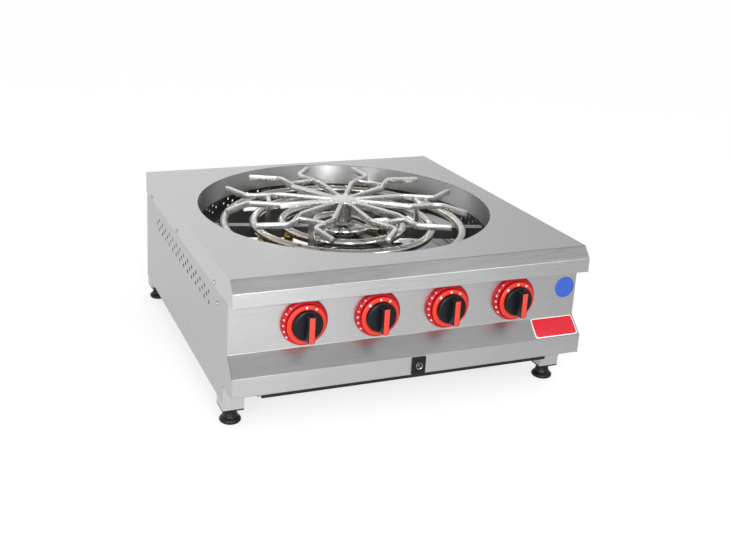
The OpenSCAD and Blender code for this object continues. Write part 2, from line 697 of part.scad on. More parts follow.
// Igniter: a frame on the apron with the spark unit behind it
spark_z = top_h - (apron_drop + apron_low) / 2;
frame_t = 3;
module igniter_housing() color([0.06, 0.06, 0.06]) difference() {
    union() {
        translate([spark_x - spark_w / 2, apron_y - frame_t, spark_z - spark_h / 2])
            cube([spark_w, frame_t, spark_h]);
        translate([spark_x - spark_w / 2 + 4.2, apron_y - eps, spark_z - spark_h / 2 + 4.2])
            cube([spark_w - 8.4, 10, spark_h - 8.4]);
        rod_y(spark_x, apron_y + 9, apron_y + 46, spark_z, button_d / 2 + 2);
    }
    rod_y(spark_x, apron_y - 8, apron_y + 22, spark_z, button_d / 2 + run_gap);
}
module igniter_button() color("silver") {
    rod_y(spark_x, apron_y - frame_t - button_l, apron_y + 22 - button_l - 1, spark_z, button_d / 2);
    translate([spark_x, apron_y - frame_t - button_l, spark_z]) rotate([90, 0, 0])
        cylinder(h = 1, r1 = button_d / 2, r2 = button_d / 2 - 1);
}

// Spark electrode: a ceramic rod on an arm of the cradle beside the inner ring
electrode_r = (ring_3_r + ring_4_r) / 2;
module spark_electrode() color("ivory") translate([0, well_y, 0]) rotate([0, 0, 225])
    translate([electrode_r, 0, bar_z]) {
        cylinder(h = 3, r = 6);
        cylinder(h = 14, r = 3.5);
        cylinder(h = 20, r = 1.2);
    }

// Screws in the plate's skirts, and one lower down near each front corner
skirt_v = [115, 400, 640];
skirt_drop = 42;
corner_v = 100;
corner_drop = 76;
module screw_holes(x, l) {
    for (s = [-1, 1]) {
        for (v = skirt_v) translate([s * x, lip_y + v, top_h - skirt_drop])
            rotate([0, -s * 90, 0]) cylinder(h = l, r = 2 + run_gap);
        translate([s * x, lip_y + corner_v, top_h - corner_drop])
            rotate([0, -s * 90, 0]) cylinder(h = l, r = 2 + run_gap);
    }
}
module screw() {
    cylinder(h = 2, r1 = 4.5, r2 = 3.2);
    translate([0, 0, -6]) cylinder(h = 6 + eps, r = 2);
}
module panel_screws() color("gray") for (s = [-1, 1]) {
    for (v = skirt_v) translate([s * half_w, lip_y + v, top_h - skirt_drop]) rotate([0, s * 90, 0]) screw();
    translate([s * side_x, lip_y + corner_v, top_h - corner_drop]) rotate([0, s * 90, 0]) screw();
}

// Drip tray: a shallow pan whose side rims ride on the rails, with a low front lip under the apron
module drip_tray() color("gray") {
    y0 = lip_y + tray_set;
    y1 = back_y - 2 * sheet - 20;
    floor_z = rim_z - tray_h;
    x = tray_x - tray_rim;
    difference() {
        slab_x([[y0, rim_z], [y1, rim_z], [y1, floor_z], [y0 + 50, floor_z], [y0, rim_z - tray_lip]], -x, 2 * x);
        slab_x([[y0 + tray_t, rim_z + 1], [y1 - tray_t, rim_z + 1], [y1 - tray_t, floor_z + tray_t],
                [y0 + 50, floor_z + tray_t], [y0 + tray_t, rim_z - tray_lip + tray_t]],
               -x + tray_t, 2 * x - 2 * tray_t);
    }
    for (s = [-1, 1]) translate([s > 0 ? x - eps : -tray_x, y0, rim_z - tray_t])
        cube([tray_rim + eps, y1 - y0, tray_t]);
}

// Grate: a hub whose boss meets twelve flat bars on edge, bent into six forks
module grate_hub() color("silver") translate([0, well_y, grate_z - grate_bar_h]) {
    h = grate_bar_h - hub_h;
    bore = cone_d / 2 - 3;
    rotate_extrude($fn = 96) polygon([
        [0, h], [bore, h], [bore, 0], [boss_d / 2, 0], [boss_d / 2, h], [hub_d / 2, h],
        [hub_d / 2, grate_bar_h - 1], [hub_d / 2 - 1.5, grate_bar_h], [0, grate_bar_h]]);
}

// A fork: two bars, the link between them, and a foot that drops into the pocket of a cradle arm
module grate_fork(k) color("silver")
translate([0, well_y, 0]) rotate([0, 0, fork_turn + (k - 1) * 360 / fork_n]) difference() {
    post_z = bar_z - pocket_h + free_gap;
    bend_u = bend_r * cos(fork_a);
    bend_v = bend_r * sin(fork_a);
    link_v = fork_v + (bend_v - fork_v) * (fork_u - link_u) / (fork_u - bend_u);
    union() {
        for (s = [-1, 1]) translate([0, 0, grate_z - grate_bar_h]) linear_extrude(grate_bar_h)
            bent_strip([
                [boss_d / 3 * cos(fork_a), s * boss_d / 3 * sin(fork_a)], [bend_u, s * bend_v],
                [fork_u, s * fork_v], [fork_u + neck_l, s * fork_v],
                [fork_u + neck_l + tip_l * cos(tip_a), s * (fork_v + tip_l * sin(tip_a))]],
                grate_bar_t, bar_fold);
        translate([link_u - grate_bar_t / 2, -link_v, grate_z - grate_bar_h])
            cube([grate_bar_t, 2 * link_v, grate_bar_h - 2]);
        translate([link_u - grate_bar_t / 2, -post_w / 2, post_z])
            cube([grate_bar_t, post_w, grate_z - grate_bar_h / 2 - post_z]);
    }
    translate([0, 0, grate_z - grate_bar_h - 1]) cylinder(h = 2 * grate_bar_h, r = boss_d / 2, $fn = 96);
    translate([0, 0, grate_z - hub_h]) cylinder(h = 2 * grate_bar_h, r = hub_d / 2, $fn = 96);
}
module grate_fork_1() grate_fork(1);
module grate_fork_2() grate_fork(2);
module grate_fork_3() grate_fork(3);
module grate_fork_4() grate_fork(4);
module grate_fork_5() grate_fork(5);
module grate_fork_6() grate_fork(6);

top_plate();
well_wall();
air_ring();
side_panel_left();
side_panel_right();
back_panel();
control_panel();
leg_rail_left();
leg_rail_right();
leg_end_plates();
burner_cradle();
burner_ring_1();
burner_ring_2();
burner_ring_3();
burner_ring_4();
centre_cone();
gas_injectors();
gas_tubes();
gas_valve_1();
gas_valve_2();
gas_valve_3();
gas_valve_4();
gas_manifold();
gas_inlet();
manifold_brackets();
dial_rings();
igniter_housing();
spark_electrode();
panel_screws();
valve_plunger_1();
valve_plunger_2();
valve_plunger_3();
valve_plunger_4();
valve_spindle_1();
valve_spindle_2();
valve_spindle_3();
valve_spindle_4();
knob_1();
knob_2();
knob_3();
knob_4();
knob_skirt_1();
knob_skirt_2();
knob_skirt_3();
knob_skirt_4();
igniter_button();
drip_tray();
grate_hub();
grate_fork_1();
grate_fork_2();
grate_fork_3();
grate_fork_4();
grate_fork_5();
grate_fork_6();
foot_1();
foot_2();
foot_3();
foot_4();
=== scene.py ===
import math

import bmesh
import bpy
from mathutils import Matrix, Vector


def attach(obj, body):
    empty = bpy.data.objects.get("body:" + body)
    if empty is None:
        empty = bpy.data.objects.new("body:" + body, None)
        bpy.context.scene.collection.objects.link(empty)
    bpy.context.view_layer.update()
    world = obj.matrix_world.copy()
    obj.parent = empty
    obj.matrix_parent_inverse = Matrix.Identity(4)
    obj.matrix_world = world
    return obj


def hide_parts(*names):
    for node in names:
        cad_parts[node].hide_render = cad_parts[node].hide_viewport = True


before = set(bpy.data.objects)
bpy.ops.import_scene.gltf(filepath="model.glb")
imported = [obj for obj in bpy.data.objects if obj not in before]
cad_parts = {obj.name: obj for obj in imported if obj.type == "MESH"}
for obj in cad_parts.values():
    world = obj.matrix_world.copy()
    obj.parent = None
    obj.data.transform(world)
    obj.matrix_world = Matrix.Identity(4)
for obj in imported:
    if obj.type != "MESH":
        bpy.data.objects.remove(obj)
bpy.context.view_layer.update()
scene = bpy.context.scene

# Camera: stands in front of the stove and to its left, a little above the grate, and looks down on
# it. Its place, its turn and its shift were found from the corners of the casing in the photograph.
PHOTO_W, PHOTO_H, SENSOR_MM = 733, 550, 36
EYE = Vector((-0.79414, -1.84246, 0.91961))
YAW, PITCH, ROLL = 0.35944, 0.28797, 0.03885
FOCAL_PX, CENTRE_PX, CENTRE_PY = 1007.7, 300.85, 189.97
NEAREST, FURTHEST = 0.05, 60
cam = bpy.data.cameras.new("camera")
cam.sensor_width = SENSOR_MM
cam.lens = FOCAL_PX / PHOTO_W * SENSOR_MM
cam.shift_x = (PHOTO_W / 2 - CENTRE_PX) / PHOTO_W
cam.shift_y = (CENTRE_PY - PHOTO_H / 2) / PHOTO_W
cam.clip_start, cam.clip_end = NEAREST, FURTHEST
look = Vector((math.sin(YAW) * math.cos(PITCH), math.cos(YAW) * math.cos(PITCH), -math.sin(PITCH)))
right = Vector((math.cos(YAW), -math.sin(YAW), 0))
up = right.cross(look)
right, up = (right * math.cos(ROLL) + up * math.sin(ROLL),
             up * math.cos(ROLL) - right * math.sin(ROLL))
camera = bpy.data.objects.new("camera", cam)
camera.matrix_world = Matrix((
    (right.x, up.x, -look.x, EYE.x),
    (right.y, up.y, -look.y, EYE.y),
    (right.z, up.z, -look.z, EYE.z),
    (0, 0, 0, 1)))
scene.collection.objects.link(camera)
scene.camera = camera
scene.view_settings.view_transform = "Standard"

# Surround: pale to the eye, and a soft light on the stove from every side. Metal and glass mirror
# a bright studio wall, which gives way to a dimmer ceiling overhead and a dimmer side at the right.
PALE = (0.8, 0.8, 0.8, 1)
SOFT_LIGHT, SOFT_COLOUR = 0.55, (0.97, 0.985, 1, 1)
WALL, CEILING = 1.15, 0.42
WALL_UP_TO, CEILING_FROM = 0.3, 1.0
RIGHT_SHARE = 0.6
LEFT_UP_TO, RIGHT_FROM = 0.25, 0.65


def sum_node(nodes, operation, second=None):
    node = nodes.new("ShaderNodeMath")
    node.operation = operation
    if second is not None:
        node.inputs[1].default_value = second
    return node


def gradual(nodes, start, end, first=0.0, last=1.0, course="SMOOTHSTEP"):
    node = nodes.new("ShaderNodeMapRange")
    node.interpolation_type = course
    node.inputs["From Min"].default_value = start
    node.inputs["From Max"].default_value = end
    node.inputs["To Min"].default_value = first
    node.inputs["To Max"].default_value = last
    return node


world = bpy.data.worlds.new("surround")
scene.world = world
world.use_nodes = True
nodes, links = world.node_tree.nodes, world.node_tree.links
nodes.clear()
out = nodes.new("ShaderNodeOutputWorld")
seen = nodes.new("ShaderNodeBackground")
seen.inputs["Color"].default_value = PALE
mirrored = nodes.new("ShaderNodeBackground")
mirrored.inputs["Color"].default_value = PALE
lit = nodes.new("ShaderNodeBackground")
lit.inputs["Color"].default_value = SOFT_COLOUR
lit.inputs["Strength"].default_value = SOFT_LIGHT
direction = nodes.new("ShaderNodeTexCoord")
split = nodes.new("ShaderNodeSeparateXYZ")
upward = gradual(nodes, WALL_UP_TO, CEILING_FROM, WALL, CEILING)
sideways = gradual(nodes, LEFT_UP_TO, RIGHT_FROM, 1.0, RIGHT_SHARE)
dimmed = sum_node(nodes, "MULTIPLY")
path = nodes.new("ShaderNodeLightPath")
reflected = sum_node(nodes, "MAXIMUM")
soft_or_mirror = nodes.new("ShaderNodeMixShader")
eye_or_rest = nodes.new("ShaderNodeMixShader")
links.new(direction.outputs["Generated"], split.inputs[0])
links.new(split.outputs["Z"], upward.inputs["Value"])
links.new(split.outputs["X"], sideways.inputs["Value"])
links.new(upward.outputs[0], dimmed.inputs[0])
links.new(sideways.outputs[0], dimmed.inputs[1])
links.new(dimmed.outputs[0], mirrored.inputs["Strength"])
links.new(path.outputs["Is Glossy Ray"], reflected.inputs[0])
links.new(path.outputs["Is Transmission Ray"], reflected.inputs[1])
links.new(reflected.outputs[0], soft_or_mirror.inputs[0])
links.new(lit.outputs[0], soft_or_mirror.inputs[1])
links.new(mirrored.outputs[0], soft_or_mirror.inputs[2])
links.new(path.outputs["Is Camera Ray"], eye_or_rest.inputs[0])
links.new(soft_or_mirror.outputs[0], eye_or_rest.inputs[1])
links.new(seen.outputs[0], eye_or_rest.inputs[2])
links.new(eye_or_rest.outputs[0], out.inputs["Surface"])

# Lamps: three weak and very soft ones, from the front left, the right and the back. They shape the
# dull surfaces and throw the soft shadow, and metal doesn't mirror them.
for name, towards, strength, spread in (
        ("lamp_front_left", (0.55, 0.75, -0.8), 0.25, 40),
        ("lamp_right", (-0.8, 0.2, -0.75), 0.5, 50),
        ("lamp_back", (0.1, -0.7, -0.9), 0.4, 50)):
    sun = bpy.data.lights.new(name, "SUN")
    sun.energy = strength
    sun.angle = math.radians(spread)
    lamp = bpy.data.objects.new(name, sun)
    lamp.rotation_euler = Vector(towards).to_track_quat("-Z", "Y").to_euler()
    lamp.visible_glossy = False
    scene.collection.objects.link(lamp)

# Soft boxes: two tall strips of bright cloth at the front, which show as upright streaks in the
# well, and a weaker square one to the right. All give the bright spots on tubes and knobs.
BOX_AIM = Vector((0, 0, 0.2))
for name, degrees, distance, height, wide, tall, watts in (
        ("strip_near", -8, 2.6, 0.85, 0.5, 1.5, 29),
        ("strip_left", -44, 2.6, 0.85, 0.32, 1.5, 25),
        ("soft_box_right", 29, 2.4, 1.5, 0.8, 0.8, 5)):
    cloth = bpy.data.lights.new(name, "AREA")
    cloth.shape = "RECTANGLE"
    cloth.size, cloth.size_y = wide, tall
    cloth.energy = watts
    box = bpy.data.objects.new(name, cloth)
    turn = math.radians(degrees)
    box.location = (distance * math.sin(turn), -distance * math.cos(turn), height)
    box.rotation_euler = (BOX_AIM - box.location).to_track_quat("-Z", "Y").to_euler()
    box.visible_camera = False
    scene.collection.objects.link(box)

# Floor: a pale board under the stove. It is white to the eye and keeps a soft shadow, and what
# metal mirrors of it gets dimmer towards the right, as the surround does.
FLOOR_HALF, FLOOR_COLOUR, FLOOR_GLOW = 14, 0.38, 0.68
MIRRORED_LEFT, MIRRORED_RIGHT = 0.72, 0.2
FLOOR_LEFT_X, FLOOR_RIGHT_X = -0.3, 0.9


def new_piece(name, bm, body=None, smooth=None, materials=()):
    mesh = bpy.data.meshes.new(name)
    bm.to_mesh(mesh)
    bm.free()
    if smooth is not None:
        mesh.shade_smooth()
        mesh.set_sharp_from_angle(angle=math.radians(smooth))
    for material in materials:
        mesh.materials.append(material)
    obj = bpy.data.objects.new(name, mesh)
    scene.collection.objects.link(obj)
    if body:
        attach(obj, body)
    return obj


bm = bmesh.new()
bmesh.ops.create_grid(bm, x_segments=1, y_segments=1, size=FLOOR_HALF)
pale = bpy.data.materials.new("floor_white")
pale.use_nodes = True
nodes, links = pale.node_tree.nodes, pale.node_tree.links
nodes.clear()
out = nodes.new("ShaderNodeOutputMaterial")
diffuse = nodes.new("ShaderNodeBsdfDiffuse")
diffuse.inputs["Color"].default_value = (FLOOR_COLOUR, FLOOR_COLOUR, FLOOR_COLOUR, 1)
glow = nodes.new("ShaderNodeEmission")
path = nodes.new("ShaderNodeLightPath")
place = nodes.new("ShaderNodeTexCoord")
split = nodes.new("ShaderNodeSeparateXYZ")
sideways = gradual(nodes, FLOOR_LEFT_X, FLOOR_RIGHT_X, MIRRORED_LEFT, MIRRORED_RIGHT)
reflected = sum_node(nodes, "MAXIMUM")
dimmed = sum_node(nodes, "MULTIPLY")
seen = sum_node(nodes, "MAXIMUM")
strength = sum_node(nodes, "MULTIPLY", FLOOR_GLOW)
both = nodes.new("ShaderNodeAddShader")
links.new(place.outputs["Object"], split.inputs[0])
links.new(split.outputs["X"], sideways.inputs["Value"])
links.new(path.outputs["Is Glossy Ray"], reflected.inputs[0])
links.new(path.outputs["Is Transmission Ray"], reflected.inputs[1])
links.new(reflected.outputs[0], dimmed.inputs[0])
links.new(sideways.outputs[0], dimmed.inputs[1])
links.new(path.outputs["Is Camera Ray"], seen.inputs[0])
links.new(dimmed.outputs[0], seen.inputs[1])
links.new(seen.outputs[0], strength.inputs[0])
links.new(strength.outputs[0], glow.inputs["Strength"])
links.new(diffuse.outputs[0], both.inputs[0])
links.new(glow.outputs[0], both.inputs[1])
links.new(both.outputs[0], out.inputs["Surface"])
new_piece("floor", bm, materials=[pale])

# Casing: stainless sheet of 1.5 mm, brushed along its length, folded, and screwed at the skirts.
# Its grain is fine streaks, and hands and cloths leave it a little duller in broad patches.
# The back panel is a duller sheet. The side panels and the control panel are the same sheet as the
# top plate, and their darker colour is painted shade.
STREAK_DETAIL, STREAK_ROUGHNESS = 5, 0.6
PATCH_SCALE, PATCH_DETAIL, PATCH_SHARE = 4.5, 3, 0.6
WEAR = 0.22
RELIEF_DEPTH = 0.0005
group = bpy.data.node_groups.new("brushed_grain", "ShaderNodeTree")
for name, kind, way in (
        ("Colour", "NodeSocketColor", "INPUT"), ("Streak", "NodeSocketVector", "INPUT"),
        ("Fineness", "NodeSocketFloat", "INPUT"), ("Contrast", "NodeSocketFloat", "INPUT"),
        ("Dullness", "NodeSocketFloat", "INPUT"), ("Colour", "NodeSocketColor", "OUTPUT"),
        ("Roughness", "NodeSocketFloat", "OUTPUT"), ("Height", "NodeSocketFloat", "OUTPUT")):
    group.interface.new_socket(name=name, in_out=way, socket_type=kind)
nodes, links = group.nodes, group.links
given, made = nodes.new("NodeGroupInput"), nodes.new("NodeGroupOutput")
place = nodes.new("ShaderNodeTexCoord")
streak = nodes.new("ShaderNodeVectorMath")
streak.operation = "MULTIPLY"
fine = nodes.new("ShaderNodeTexNoise")
fine.inputs["Detail"].default_value = STREAK_DETAIL
fine.inputs["Roughness"].default_value = STREAK_ROUGHNESS
broad = nodes.new("ShaderNodeTexNoise")
broad.inputs["Scale"].default_value = PATCH_SCALE
broad.inputs["Detail"].default_value = PATCH_DETAIL
rubbed = sum_node(nodes, "MULTIPLY_ADD", PATCH_SHARE)
centred = sum_node(nodes, "SUBTRACT", (1 + PATCH_SHARE) / 2)
swing = sum_node(nodes, "MULTIPLY")
bright = sum_node(nodes, "ADD", 1.0)
tint = nodes.new("ShaderNodeVectorMath")
tint.operation = "SCALE"
worn = sum_node(nodes, "MULTIPLY_ADD", WEAR)
links.new(place.outputs["Object"], streak.inputs[0])
links.new(given.outputs["Streak"], streak.inputs[1])
links.new(streak.outputs[0], fine.inputs["Vector"])
links.new(given.outputs["Fineness"], fine.inputs["Scale"])
links.new(place.outputs["Object"], broad.inputs["Vector"])
links.new(broad.outputs["Fac"], rubbed.inputs[0])
links.new(fine.outputs["Fac"], rubbed.inputs[2])
links.new(rubbed.outputs[0], centred.inputs[0])
links.new(centred.outputs[0], swing.inputs[0])
links.new(given.outputs["Contrast"], swing.inputs[1])
links.new(swing.outputs[0], bright.inputs[0])
links.new(given.outputs["Colour"], tint.inputs[0])
links.new(bright.outputs[0], tint.inputs["Scale"])
links.new(centred.outputs[0], worn.inputs[0])
links.new(given.outputs["Dullness"], worn.inputs[2])
links.new(tint.outputs[0], made.inputs["Colour"])
links.new(worn.outputs[0], made.inputs["Roughness"])
links.new(fine.outputs["Fac"], made.inputs["Height"])


def metal(name, colour, dullness, streak=(1, 50, 50), fineness=12, contrast=0.25, relief=0.05,
          metallic=1.0):
    mat = bpy.data.materials.new(name)
    mat.use_nodes = True
    nodes, links = mat.node_tree.nodes, mat.node_tree.links
    shader = nodes["Principled BSDF"]
    shader.inputs["Metallic"].default_value = metallic
    grain = nodes.new("ShaderNodeGroup")
    grain.name = "grain"
    grain.node_tree = group
    grain.inputs["Colour"].default_value = (*colour, 1)
    grain.inputs["Streak"].default_value = streak
    grain.inputs["Fineness"].default_value = fineness
    grain.inputs["Contrast"].default_value = contrast
    grain.inputs["Dullness"].default_value = dullness
    bump = nodes.new("ShaderNodeBump")
    bump.inputs["Strength"].default_value = relief
    bump.inputs["Distance"].default_value = RELIEF_DEPTH
    links.new(grain.outputs["Colour"], shader.inputs["Base Color"])
    links.new(grain.outputs["Roughness"], shader.inputs["Roughness"])
    links.new(grain.outputs["Height"], bump.inputs["Height"])
    links.new(bump.outputs[0], shader.inputs["Normal"])
    return mat


def finish(material, *names):
    for name in names:
        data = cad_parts[name].data
        data.materials.clear()
        data.materials.append(material)


front_steel = metal("front_steel", (0.64, 0.64, 0.645), 0.3)
# Painted shade: the side panels get a darker colour than the top plate, though it is the same
# sheet.
side_sheet_painted_shade = metal("side_sheet_painted_shade", (0.53, 0.53, 0.535), 0.3, streak=(50, 1, 50))
# Painted shade: the control panel gets a little darker colour than the top plate, though it is the
# same sheet.
panel_sheet_painted_shade = metal("panel_sheet_painted_shade", (0.568, 0.568, 0.573), 0.34)
back_steel = metal("back_steel", (0.36, 0.36, 0.365), 0.36)
finish(front_steel, "top_plate")
finish(back_steel, "back_panel")
finish(panel_sheet_painted_shade, "control_panel")
finish(side_sheet_painted_shade, "side_panel_left", "side_panel_right")

# Frame: heavier matt stainless angles along the sides, the cradle of the burners, and the feed
# pipe's brackets. All of it is spot-welded or bolted inside the casing.
frame_steel = metal("frame_steel", (0.62, 0.62, 0.625), 0.36, streak=(50, 50, 4), contrast=0.3)
cradle_steel = metal("cradle_steel", (0.33, 0.33, 0.33), 0.32, streak=(6, 50, 50), contrast=0.35)
finish(frame_steel, "leg_rail_left", "leg_rail_right")
finish(cradle_steel, "manifold_brackets", "burner_cradle")

# Well: a rolled band of bright sheet under the round hole, and below it a band with three staggered
# rows of air holes, coloured near black as painted shade for the dark inside of the well. The grain
# runs round it, so the soft boxes show as upright streaks.
WALL_GRAIN, BAND_GRAIN, QUARTER_TURN = 0.85, 0.6, 0.25


def brushed_round(mat, grain):
    nodes, links = mat.node_tree.nodes, mat.node_tree.links
    shader = nodes["Principled BSDF"]
    shader.inputs["Anisotropic"].default_value = grain
    shader.inputs["Anisotropic Rotation"].default_value = QUARTER_TURN
    around = nodes.new("ShaderNodeTangent")
    around.direction_type = "RADIAL"
    around.axis = "Z"
    links.new(around.outputs[0], shader.inputs["Tangent"])


well_steel = metal("well_steel", (0.74, 0.74, 0.74), 0.35, streak=(3, 3, 60), contrast=0.3)
# Painted shade: the band's near-black colour stands for the shade inside the well.
band_painted_shade = metal("band_painted_shade", (0.13, 0.13, 0.13), 0.34, streak=(3, 3, 60), contrast=0.3)
brushed_round(well_steel, WALL_GRAIN)
brushed_round(band_painted_shade, BAND_GRAIN)
finish(well_steel, "well_wall")
finish(band_painted_shade, "air_ring")

# Drip tray: a shallow pan of smooth folded sheet, coloured mid grey as painted shade, so that it
# looks dark between the rings. It lies on the side rails and slides out at the front.
tray_sheet_painted_shade = metal("tray_sheet_painted_shade", (0.5, 0.5, 0.5), 0.16, streak=(40, 1, 40), contrast=0.15)
finish(tray_sheet_painted_shade, "drip_tray")

# Burners: four rings of polished tube with a row of ports on top, the turned cone in the middle,
# and the brass jets and copper tubes that feed them. Heat has left straw-coloured patches on the
# rings and browner ones on the cone.
TINT_SCALE, TINT_DETAIL = 11, 4
TINT_FROM, TINT_FULL = 0.42, 0.72


def heat_tinted(mat, colour):
    nodes, links = mat.node_tree.nodes, mat.node_tree.links
    place = nodes.new("ShaderNodeTexCoord")
    patches = nodes.new("ShaderNodeTexNoise")
    patches.inputs["Scale"].default_value = TINT_SCALE
    patches.inputs["Detail"].default_value = TINT_DETAIL
    reach = gradual(nodes, TINT_FROM, TINT_FULL, course="LINEAR")
    tinted = nodes.new("ShaderNodeMix")
    tinted.data_type = "RGBA"
    tinted.inputs["B"].default_value = (*colour, 1)
    links.new(place.outputs["Object"], patches.inputs["Vector"])
    links.new(patches.outputs["Fac"], reach.inputs["Value"])
    links.new(reach.outputs[0], tinted.inputs["Factor"])
    links.new(nodes["grain"].outputs["Colour"], tinted.inputs["A"])
    links.new(tinted.outputs["Result"], nodes["Principled BSDF"].inputs["Base Color"])


tube_steel = metal("tube_steel", (0.7, 0.69, 0.675), 0.12, streak=(12, 12, 12), fineness=20)
cone_steel = metal("cone_steel", (0.42, 0.41, 0.4), 0.14, streak=(2, 2, 80), contrast=0.3)
brass = metal("turned_brass", (0.72, 0.5, 0.16), 0.22, streak=(10, 10, 80), contrast=0.3)
copper = metal("drawn_copper", (0.62, 0.33, 0.2), 0.26, streak=(14, 14, 14), contrast=0.35)
heat_tinted(tube_steel, (0.6, 0.54, 0.44))
heat_tinted(cone_steel, (0.3, 0.24, 0.17))
finish(tube_steel, *[f"burner_ring_{k}" for k in range(1, 5)])
finish(cone_steel, "centre_cone")
finish(brass, "gas_injectors",
       *[f"{part}_{k}" for part in ("gas_valve", "valve_plunger") for k in range(1, 5)])
finish(copper, "gas_tubes")

# Brass sockets: each ring's feed is brazed into a hexagon socket, whose round neck closes on the
# tube. They are turned from bar, and the hexagon is for the spanner.
FEED_PLACES = ((-0.24757, -0.01929), (-0.18518, -0.01053), (-0.12576, -0.00217),
               (0.06399, -0.04417))
SOCKET_LOW, FEED_R = 0.2278, 0.0082
HEXAGON = ((FEED_R, 0.0005), (0.0098, 0), (0.0108, 0.0008), (0.0108, 0.0062), (0.0098, 0.007),
           (FEED_R, 0.007), (FEED_R, 0.0005))
NECK = ((FEED_R, 0.0068), (0.0094, 0.0068), (0.0096, 0.0074), (0.0096, 0.0146), (0.0091, 0.0154),
        (FEED_R, 0.0158), (FEED_R, 0.0068))


def turned(bm, profile, steps=96):
    points = [bm.verts.new((radius, 0, height)) for radius, height in profile]
    lines = [bm.edges.new(pair) for pair in zip(points, points[1:])]
    bmesh.ops.spin(bm, geom=points + lines, cent=(0, 0, 0), axis=(0, 0, 1), dvec=(0, 0, 0),
                   angle=math.tau, steps=steps, use_merge=True, use_duplicate=False)
    bmesh.ops.remove_doubles(bm, verts=bm.verts, dist=1e-6)
    bmesh.ops.recalc_face_normals(bm, faces=bm.faces)


socket_brass = metal("socket_brass", (0.78, 0.52, 0.15), 0.2, streak=(10, 10, 80), contrast=0.3)
for k, (x, y) in enumerate(FEED_PLACES, 1):
    bm = bmesh.new()
    turned(bm, HEXAGON, steps=6)
    turned(bm, NECK, steps=48)
    bmesh.ops.translate(bm, vec=(x, y, SOCKET_LOW), verts=bm.verts)
    socket = new_piece(f"feed_socket_{k}", bm, "stove", smooth=35, materials=[socket_brass])

# Spark electrode: a glazed ceramic sleeve round a steel pin. It is fixed on an arm of the cradle,
# beside the inner ring.
ceramic = metal("glazed_ceramic", (0.8, 0.78, 0.72), 0.2, streak=(1, 1, 1), fineness=300,
                contrast=0.2, metallic=0)
finish(ceramic, "spark_electrode")

# Feed: zinc-plated pipe behind the panel, held in two brackets, with an elbow and a stub at the
# back. The valves' spindles have the same finish.
pipe_steel = metal("pipe_steel", (0.45, 0.45, 0.46), 0.32, streak=(3, 60, 60), contrast=0.4)
finish(pipe_steel, "gas_manifold", "gas_inlet", *[f"valve_spindle_{k}" for k in range(1, 5)])

# Grate: six forks of flat bar on edge and a turned hub, welded, ground and rubbed to a warm satin.
# Every long edge is broken by about a millimetre, and it shines there.
BROKEN_EDGE = 0.0011
SHARP_DEGREES = 32
FLAT_DEGREES = 0.6


def softened(node, width, body, materials):
    bm = bmesh.new()
    bm.from_mesh(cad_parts[node].data)
    bmesh.ops.remove_doubles(bm, verts=bm.verts, dist=2e-6)
    bmesh.ops.dissolve_limit(bm, angle_limit=math.radians(FLAT_DEGREES), verts=bm.verts,
                             edges=bm.edges)
    sharp = [e for e in bm.edges
             if len(e.link_faces) == 2 and e.calc_face_angle(0) > math.radians(SHARP_DEGREES)]
    bmesh.ops.bevel(bm, geom=sharp, offset=width, affect="EDGES", segments=2, profile=0.5,
                    material=-1, clamp_overlap=True)
    piece = new_piece(node + "_finished", bm, body, smooth=40, materials=materials)
    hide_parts(node)
    return piece


grate_steel = metal("grate_steel", (0.86, 0.855, 0.84), 0.29, streak=(25, 25, 25), contrast=0.16,
                    relief=0.025)
for name in ("grate_hub", *[f"grate_fork_{k}" for k in range(1, 7)]):
    softened(name, BROKEN_EDGE, "grate", [grate_steel])

# Knobs: a black moulded cap with a raised grip, an orange-red inlay along the grip's face, and a
# bright red skirt with white marks. Each is pushed on to its spindle and turns in front of a dark
# red dial ring that is glued to the panel and has white marks on its slope.
PANEL_Y, KNOB_Z, KNOB_X = -0.3275, 0.2, (-0.21, -0.07, 0.07, 0.21)
DIAL_BORE, DIAL_R, DIAL_T = 0.0102, 0.044, 0.010
DIAL = ((DIAL_BORE, 0), (DIAL_R, 0), (DIAL_R, 0.0028), (0.0436, 0.0048), (0.0426, 0.0072),
        (0.0412, 0.0092), (0.0396, DIAL_T), (0.0308, DIAL_T), (0.0298, 0.0094), (0.0288, 0.0062),
        (DIAL_BORE, 0.006), (DIAL_BORE, 0))
SLOPE_R, SLOPE_H, SLOPE_TILT = 0.0411, 0.0087, math.radians(42)
SKIRT_STAND = 0.014
SKIRT_R, SKIRT_T, CAP_R, CAP_H = 0.0365, 0.004, 0.0285, 0.011
SKIRT = ((CAP_R, 0), (SKIRT_R - 0.0012, 0), (SKIRT_R, 0.001), (SKIRT_R - 0.0002, 0.0022),
         (SKIRT_R - 0.0012, 0.0034), (SKIRT_R - 0.0026, SKIRT_T), (CAP_R + 0.0012, SKIRT_T),
         (CAP_R + 0.0004, SKIRT_T - 0.0006), (CAP_R, SKIRT_T - 0.0006), (CAP_R, 0))
SPINDLE_R, CAP_FIT = 0.0042, 0.0001
CAP = ((SPINDLE_R, 0), (CAP_R - CAP_FIT, 0), (CAP_R - CAP_FIT, CAP_H - 0.003),
       (CAP_R - 0.0008, CAP_H - 0.0012), (CAP_R - 0.0024, CAP_H - 0.0002),
       (CAP_R - 0.0045, CAP_H + 0.0001), (0, CAP_H + 0.0008))
GRIP_W, GRIP_TOP_W, GRIP_L, GRIP_H, GRIP_ROOT = 0.0146, 0.0124, 0.053, 0.0288, 0.004
GRIP_TAPER, GRIP_CORNER, GRIP_EDGE = 0.955, 0.0035, 0.0007
INLAY_W, INLAY_L, INLAY_T, INLAY_ROUND = 0.0102, 0.048, 0.0012, 0.0005
INLAY_SUNK, INLAY_LOW = 0.0004, 0.0006
